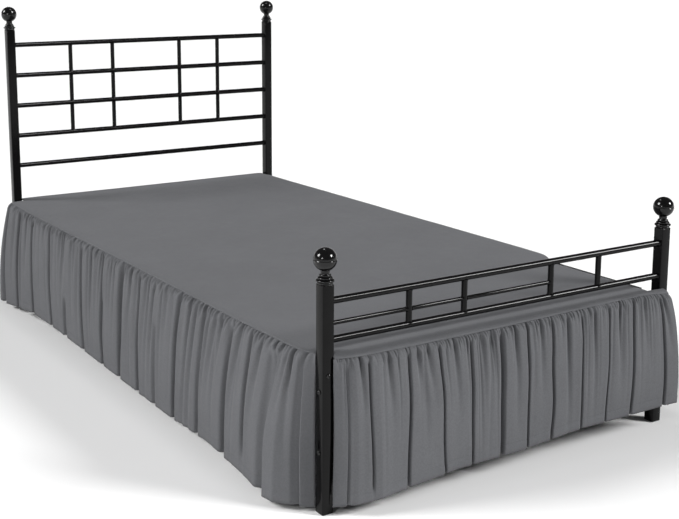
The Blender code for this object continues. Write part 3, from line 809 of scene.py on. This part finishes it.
def deck_surface(x, y):
    """The deck's points for arrays of places."""
    near_drop = roll_drop(x - NEAR_SEAM_X, NEAR_HANGS, y)
    foot_drop = roll_drop(y - FOOT_SEAM_Y, FOOT_HANGS, x)
    far_drop = roll_drop(FAR_SEAM_X - x, FAR_HANGS, np.maximum(y, TUCK_START_Y))
    tucked = smooth_step((TUCK_START_Y - y) / (TUCK_START_Y - TUCK_END_Y))
    far_drop = far_drop * (1 - tucked)
    random = np.random.RandomState(DECK_SEED)
    uneven = sum(height * soft_noise(random, x, y, size, count) for height, size, count in DECK_WAVES)
    z = DECK_MIDDLE - np.maximum(np.maximum(near_drop, foot_drop), far_drop) + uneven
    squeeze = 1 - (1 - TUCK_SQUEEZE) * tucked
    beyond = np.maximum(x - TUCK_X, 0.0)
    pulled = np.where(y >= TUCK_END_Y, x - beyond * (1 - squeeze), x)
    near_share = np.clip(1 - (x - NEAR_SEAM_X) / ROLL_WIDTH, 0.0, 1.0)
    foot_share = np.clip(1 - (y - FOOT_SEAM_Y) / ROLL_WIDTH, 0.0, 1.0)
    near_inset = near_share * hang_value(NEAR_HANGS, y, "inset")
    foot_inset = foot_share * hang_value(FOOT_HANGS, x, "inset")
    return np.stack([pulled + near_inset, y + foot_inset, z], axis=-1)


def make_deck(cloth, thread):
    """The flat platform cloth, with its stitched seam edges."""
    edges = notch_edges()
    slot_in, foot_in, foot_out = edges
    across = graded(NEAR_SEAM_X, FAR_SEAM_X)
    across = with_lines(across, (FOOT_TONGUE_NEAR_X, -slot_in, TUCK_X, slot_in, FOOT_TONGUE_FAR_X))
    along = graded(FOOT_SEAM_Y, DECK_HEAD_Y)
    along = with_lines(along, (foot_in, foot_out, TUCK_END_Y, DECK_SIDE_HEAD_Y))
    x, y = np.meshgrid(across, along, indexing="ij")
    points = deck_surface(x, y)
    index = {}
    vertices = []
    faces = []

    def corner(i, j):
        if (i, j) not in index:
            index[i, j] = len(vertices)
            vertices.append(points[i, j])
        return index[i, j]

    for i in range(len(across) - 1):
        for j in range(len(along) - 1):
            if in_deck((across[i] + across[i + 1]) / 2, (along[j] + along[j + 1]) / 2, edges):
                faces.append((corner(i, j), corner(i + 1, j), corner(i + 1, j + 1), corner(i, j + 1)))
    obj = add_piece("deck_panel_cloth", mesh_from("deck_panel_cloth", vertices, faces), cloth,
                    ["deck_panel"])
    thicken(obj)
    mesh = stitch_mesh("deck_panel_stitches", deck_runs())
    stitches = add_piece(mesh.name, mesh, thread, [])
    return obj


def deck_runs():
    """The lines of stitches beside the near, far and foot seams and along the head hem."""
    foot_in = notch_edges()[1]
    side = np.arange(foot_in + RUN_STEP, DECK_SIDE_HEAD_Y - RUN_STEP, RUN_STEP)
    far_side = side[side > TUCK_START_Y]
    foot = np.arange(FOOT_TONGUE_NEAR_X + RUN_STEP, FOOT_TONGUE_FAR_X - RUN_STEP, RUN_STEP)
    head = np.arange(-HEAD_RUN_END, HEAD_RUN_END, RUN_STEP)
    runs = []
    for x, y in (
        (np.full_like(side, NEAR_SEAM_X + TOPSTITCH_INSET), side),
        (np.full_like(far_side, FAR_SEAM_X - TOPSTITCH_INSET), far_side),
        (foot, np.full_like(foot, FOOT_SEAM_Y + TOPSTITCH_INSET)),
        (head, np.full_like(head, DECK_HEAD_Y - HEM_WIDTH / 2)),
    ):
        points = deck_surface(x, y)
        proud = np.zeros_like(points)
        proud[:, 2] = STITCH_LIFT
        runs.append((points, proud))
    return runs


# Metal


def turned_mesh(name, profile, sides):
    """A turned piece about Z, from (height, radius) pairs, closed at both ends."""
    vertices = []
    for height, radius in profile:
        for k in range(sides):
            angle = 2 * math.pi * k / sides
            vertices.append((radius * math.cos(angle), radius * math.sin(angle), height))
    faces = [tuple(range(sides)), tuple(range(len(vertices) - sides, len(vertices)))]
    for ring in range(len(profile) - 1):
        for k in range(sides):
            here = ring * sides + k
            beside = ring * sides + (k + 1) % sides
            faces.append((here, beside, beside + sides, here + sides))
    return mesh_from(name, vertices, faces)


def axis_turn(axis, sign=1):
    """The rotation that takes Z to an axis."""
    target = Vector([sign if k == axis else 0 for k in range(3)])
    return Vector((0, 0, 1)).rotation_difference(target).to_matrix().to_4x4()


def make_bar(node, material):
    """A round bar with a small weld round each end."""
    low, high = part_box(node)
    size = high - low
    axis = max(range(3), key=lambda k: size[k])
    radius = sorted(size)[0] / 2
    half = size[axis] / 2
    profile = [(-half + WELD_LENGTH * s, radius + WELD_RADIUS * w) for s, w in WELD_PROFILE]
    profile += [(-height, wide) for height, wide in reversed(profile)]
    mesh = turned_mesh(f"{node}_bar", profile, BAR_SIDES)
    mesh.transform(Matrix.Translation((low + high) / 2) @ axis_turn(axis))
    return add_piece(mesh.name, mesh, material, [node], METAL_SHARP_ANGLE)


def rounded_box(name, low, high, edge):
    """A rectangular bar with rounded edges."""
    mesh = bpy.data.meshes.new(name)
    bm = bmesh.new()
    bmesh.ops.create_cube(bm, size=1.0)
    bmesh.ops.scale(bm, vec=high - low, verts=bm.verts)
    bmesh.ops.translate(bm, vec=(low + high) / 2, verts=bm.verts)
    bmesh.ops.bevel(bm, geom=bm.edges[:], offset=edge, segments=4, profile=0.5, affect="EDGES")
    bm.to_mesh(mesh)
    bm.free()
    return mesh


def slot_cutter(side, x, y):
    """A drop shaped cutter for the slot above a foot post's lower bolt."""
    outline = []
    radius = SLOT_WIDTH / 2
    for k in range(SLOT_STEPS + 1):
        angle = math.pi + math.pi * k / SLOT_STEPS
        outline.append((radius * math.cos(angle), SLOT_FOOT_Z + radius + radius * math.sin(angle)))
    outline.append((0.0, SLOT_FOOT_Z + SLOT_HEIGHT))
    mesh = bpy.data.meshes.new("slot_cutter")
    bm = bmesh.new()
    face = bm.faces.new([bm.verts.new((x - side * SLOT_DEPTH, y + across, z)) for across, z in outline])
    extruded = bmesh.ops.extrude_face_region(bm, geom=[face])
    moved = [v for v in extruded["geom"] if isinstance(v, bmesh.types.BMVert)]
    bmesh.ops.translate(bm, vec=(side * SLOT_DEPTH * 2, 0, 0), verts=moved)
    bmesh.ops.recalc_face_normals(bm, faces=bm.faces)
    bm.to_mesh(mesh)
    bm.free()
    cutter = bpy.data.objects.new("slot_cutter", mesh)
    bpy.context.scene.collection.objects.link(cutter)
    return cutter


def cut_slot(mesh, side, x, y):
    """The mesh with the slot cut out of it."""
    post = bpy.data.objects.new("uncut_post", mesh)
    bpy.context.scene.collection.objects.link(post)
    cutter = slot_cutter(side, x, y)
    cut = post.modifiers.new("slot", "BOOLEAN")
    cut.object = cutter
    cut.operation = "DIFFERENCE"
    bpy.context.view_layer.update()
    depsgraph = bpy.context.evaluated_depsgraph_get()
    result = bpy.data.meshes.new_from_object(post.evaluated_get(depsgraph))
    bpy.data.objects.remove(post)
    bpy.data.objects.remove(cutter)
    return result


def make_post(node, material):
    """A square tube post with rounded edges, and on a foot post the slot above its lower bolt."""
    low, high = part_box(node)
    mesh = rounded_box(f"{node}_tube", low, high, POST_EDGE)
    if "foot" in node:
        side = -1 if "near" in node else 1
        face = low[0] if side < 0 else high[0]
        mesh = cut_slot(mesh, side, face, (low[1] + high[1]) / 2)
        mesh.name = f"{node}_tube"
    return add_piece(f"{node}_tube", mesh, material, [node], METAL_SHARP_ANGLE)


def make_strip(node, material):
    """A slat with rounded edges."""
    low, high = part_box(node)
    mesh = rounded_box(f"{node}_strip", low, high, STRIP_EDGE)
    return add_piece(mesh.name, mesh, material, [node], METAL_SHARP_ANGLE)


def make_angle_rail(node, material):
    """A side rail of angle section with rounded edges: an upright wall, and a foot turned out."""
    low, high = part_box(node)
    inner, outer = (low[0], high[0]) if low[0] > 0 else (high[0], low[0])
    wall = inner + math.copysign(RAIL_WALL, inner)
    foot = low[2] + RAIL_WALL
    section = (
        (inner, low[2]), (outer, low[2]), (outer, foot), (wall, foot), (wall, high[2]), (inner, high[2]),
    )
    count = len(section)
    vertices = [(x, y, z) for y in (low[1], high[1]) for x, z in section]
    faces = [tuple(range(count)), tuple(range(count, 2 * count))]
    for k in range(count):
        beside = (k + 1) % count
        faces.append((k, beside, beside + count, k + count))
    mesh = mesh_from(f"{node}_angle", vertices, faces)
    bm = bmesh.new()
    bm.from_mesh(mesh)
    bmesh.ops.bevel(bm, geom=bm.edges[:], offset=STRIP_EDGE, segments=3, profile=0.5, affect="EDGES")
    bm.to_mesh(mesh)
    bm.free()
    return add_piece(mesh.name, mesh, material, [node], METAL_SHARP_ANGLE)


def bead(bottom, top, inner, outer):
    """Profile of a rounded bead between two heights."""
    middle = (bottom + top) / 2
    half = (top - bottom) / 2
    points = []
    for k in range(BEAD_STEPS + 1):
        angle = math.pi * (k / BEAD_STEPS - 0.5)
        radius = inner + (outer - inner) * math.cos(angle) ** BEAD_POWER
        points.append((middle + half * math.sin(angle), radius))
    return points


def finial_profile():
    """Collar, flange, beads and neck, then the ball with the groove round its middle."""
    profile = []
    for bottom, top, inner, outer in FINIAL_BEADS:
        profile += bead(bottom, top, inner, outer)
    profile.append((NECK_TOP, NECK_RADIUS * NECK_WAIST))
    low = -math.acos(NECK_RADIUS / BALL_RADIUS)
    for k in range(BALL_RINGS + 1):
        angle = low + (math.radians(89) - low) * k / BALL_RINGS
        profile.append((BALL_CENTRE + BALL_RADIUS * math.sin(angle), BALL_RADIUS * math.cos(angle)))
    profile = [point for point in profile if abs(point[0] - BALL_CENTRE) > BALL_SEAM_HALF]
    for rise, cut in ((-1, 0), (0, 1), (1, 0)):
        profile.append((BALL_CENTRE + rise * BALL_SEAM_HALF, BALL_RADIUS - BALL_SEAM * cut))
    return sorted(profile)


def make_finial(node, material):
    """A turned ball finial."""
    low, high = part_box(node)
    mesh = turned_mesh(f"{node}_turned", finial_profile(), FINIAL_SIDES)
    mesh.transform(Matrix.Translation(((low[0] + high[0]) / 2, (low[1] + high[1]) / 2, low[2])))
    return add_piece(mesh.name, mesh, material, [node], FINIAL_SHARP_ANGLE)


def make_bolt(node, material):
    """A domed bolt head with a round drive recess, on a thin washer."""
    low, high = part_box(node)
    size = high - low
    axis = min(range(3), key=lambda k: size[k])
    centre = (low + high) / 2
    sign = -1 if centre[axis] < 0 else 1
    radius = max(size) / 2
    height = size[axis]
    profile = [(height * h, radius * r) for h, r in BOLT_PROFILE]
    mesh = turned_mesh(f"{node}_head", profile, BOLT_SIDES)
    base = centre.copy()
    base[axis] -= sign * height / 2
    mesh.transform(Matrix.Translation(base) @ axis_turn(axis, sign))
    return add_piece(mesh.name, mesh, material, [node], METAL_SHARP_ANGLE)


def make_metal(material, gloss):
    """A finer piece for every CAD node of the bed."""
    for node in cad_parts:
        if node.startswith("post"):
            make_post(node, material)
        elif node.startswith("finial"):
            make_finial(node, gloss)
        elif node.startswith("bolt"):
            make_bolt(node, gloss)
        elif node.startswith("side_rail"):
            make_angle_rail(node, material)
        elif node.startswith("slat"):
            make_strip(node, material)
        elif node.startswith(("head", "foot")):
            make_bar(node, material)


# Stage


def make_camera():
    """The camera at the photograph's place and angle."""
    yaw_sin = math.sin(CAMERA_YAW)
    yaw_cos = math.cos(CAMERA_YAW)
    level = math.cos(CAMERA_PITCH)
    forward = Vector((yaw_sin * level, yaw_cos * level, math.sin(CAMERA_PITCH)))
    right = Vector((yaw_cos, -yaw_sin, 0.0))
    up = right.cross(forward)
    turn = Matrix.Rotation(CAMERA_ROLL, 3, "Z")
    basis = Matrix((right, up, -forward)).transposed() @ turn
    data = bpy.data.cameras.new("camera")
    data.sensor_width = SENSOR_WIDTH
    data.lens = FOCAL_LENGTH / FRAME_WIDTH * SENSOR_WIDTH
    data.shift_x = (FRAME_WIDTH / 2 - AXIS_PIXEL_X) / FRAME_WIDTH
    data.shift_y = (AXIS_PIXEL_Y - FRAME_HEIGHT / 2) / FRAME_WIDTH
    camera = bpy.data.objects.new("camera", data)
    camera.matrix_world = Matrix.Translation(CAMERA_PLACE) @ basis.to_4x4()
    bpy.context.scene.collection.objects.link(camera)
    bpy.context.scene.camera = camera


def make_floor():
    """A wide pale floor."""
    mesh = bpy.data.meshes.new("floor")
    signs = ((-1, -1), (1, -1), (1, 1), (-1, 1))
    mesh.from_pydata([(FLOOR_REACH * x, FLOOR_REACH * y, 0) for x, y in signs], [], [(0, 1, 2, 3)])
    floor = bpy.data.objects.new("floor", mesh)
    bpy.context.scene.collection.objects.link(floor)
    material, nodes, links, shader = new_material("floor")
    shader.inputs["Base Color"].default_value = FLOOR_COLOUR
    shader.inputs["Roughness"].default_value = 0.9
    shader.inputs["Specular IOR Level"].default_value = 0.1
    mesh.materials.append(material)


def area_light(name, place, target, size, power):
    """A square soft light aimed at a point."""
    data = bpy.data.lights.new(name, "AREA")
    data.size = size
    data.energy = power
    light = bpy.data.objects.new(name, data)
    direction = Vector(target) - Vector(place)
    light.location = place
    light.rotation_euler = direction.to_track_quat("-Z", "Y").to_euler()
    bpy.context.scene.collection.objects.link(light)


def make_world():
    """A plain studio round the bed, white low down and dim above."""
    world = bpy.data.worlds.new("studio")
    bpy.context.scene.world = world
    world.use_nodes = True
    nodes = world.node_tree.nodes
    links = world.node_tree.links
    background = nodes["Background"]
    coords = nodes.new("ShaderNodeTexCoord")
    split = nodes.new("ShaderNodeSeparateXYZ")
    links.new(coords.outputs["Generated"], split.inputs["Vector"])
    ramp = nodes.new("ShaderNodeValToRGB")
    links.new(split.outputs["Z"], ramp.inputs["Fac"])
    stops = ramp.color_ramp.elements
    stops[0].position = 0.0
    stops[1].position = 1.0
    for position, level in WORLD_LEVELS:
        stop = stops.new(position) if 0 < position < 1 else stops[0 if position == 0 else len(stops) - 1]
        stop.color = (level, level, level, 1.0)
    links.new(ramp.outputs["Color"], background.inputs["Color"])
    background.inputs["Strength"].default_value = WORLD_STRENGTH


def make_light():
    """Two soft suns, from the left and the right, and two small soft lights for the gloss of the metal."""
    for sun in SUNS:
        data = bpy.data.lights.new(sun.name, "SUN")
        data.energy = sun.strength
        data.angle = sun.angle
        light = bpy.data.objects.new(sun.name, data)
        light.rotation_euler = Vector(sun.direction).to_track_quat("-Z", "Y").to_euler()
        bpy.context.scene.collection.objects.link(light)
    for lamp in LAMPS:
        area_light(*lamp)
    bpy.context.scene.view_settings.view_transform = "Standard"


def main():
    make_camera()
    cloth = cloth_material()
    thread = thread_material()
    make_metal(metal_material("black_coat", COAT_SPECULAR), metal_material("black_gloss", GLOSS_SPECULAR))
    make_deck(cloth, thread)
    for ruffle in RUFFLES:
        make_ruffle(ruffle, cloth, thread)
    make_floor()
    make_world()
    make_light()


main()
